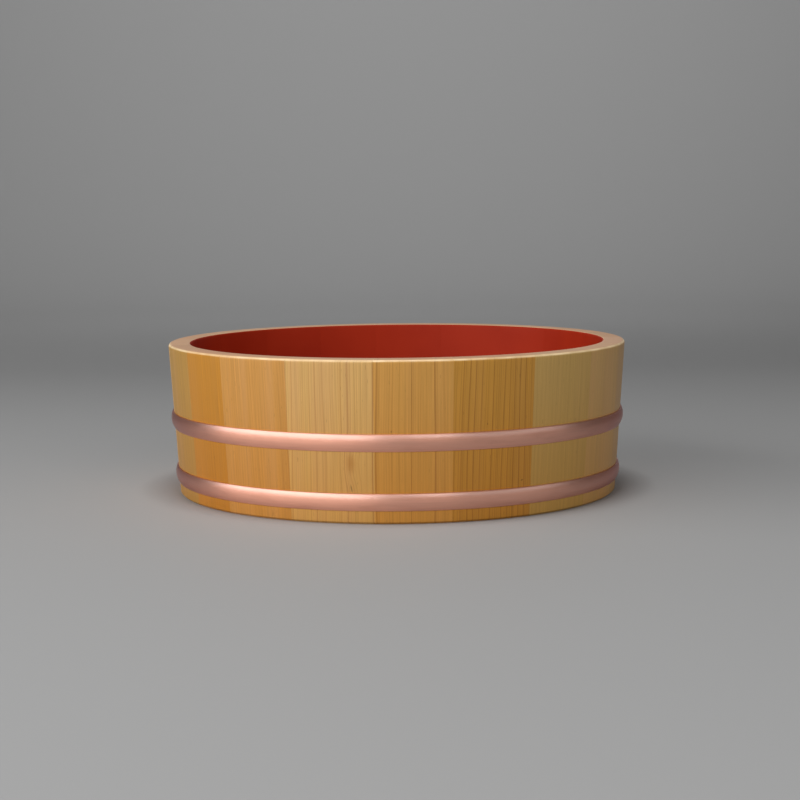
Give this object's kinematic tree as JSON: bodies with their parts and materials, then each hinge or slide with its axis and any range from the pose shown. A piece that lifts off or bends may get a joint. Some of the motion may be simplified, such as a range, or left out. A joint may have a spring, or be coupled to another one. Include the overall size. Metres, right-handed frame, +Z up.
{
  "type": "coopered serving tub",
  "caption": "Round shallow serving tub of upright wooden staves, lacquered red inside, held by two domed copper hoops, with a raised board bottom.",
  "frame": {"origin": "centre of the foot circle, on the surface that the tub stands on", "axes": "+Z up along the tub's axis, -Y towards the front as the picture shows it, +X to the right"},
  "size_m": [0.2398, 0.2398, 0.0785],
  "materials": {
    "stave_wood": "clear-coated softwood outside and on the rim, red lacquer inside",
    "bottom_wood": "red lacquer on top, clear-coated softwood underneath",
    "hoop_copper": "lengthwise brushed copper",
    "pin_bamboo": "plain whittled bamboo"
  },
  "bodies": {
    "root": {"stave_01": "stave_wood", "stave_02": "stave_wood", "stave_03": "stave_wood", "stave_04": "stave_wood", "stave_05": "stave_wood", "stave_06": "stave_wood", "stave_07": "stave_wood", "stave_08": "stave_wood", "stave_09": "stave_wood", "stave_10": "stave_wood", "stave_11": "stave_wood", "stave_12": "stave_wood", "stave_13": "stave_wood", "stave_14": "stave_wood", "stave_15": "stave_wood", "stave_16": "stave_wood", "stave_17": "stave_wood", "stave_18": "stave_wood", "stave_19": "stave_wood", "bottom_front_board": "bottom_wood", "bottom_middle_board": "bottom_wood", "bottom_back_board": "bottom_wood", "lower_hoop": "hoop_copper", "upper_hoop": "hoop_copper", "stave_pins": "pin_bamboo", "bottom_pins": "pin_bamboo"}
  },
  "joints": []
}
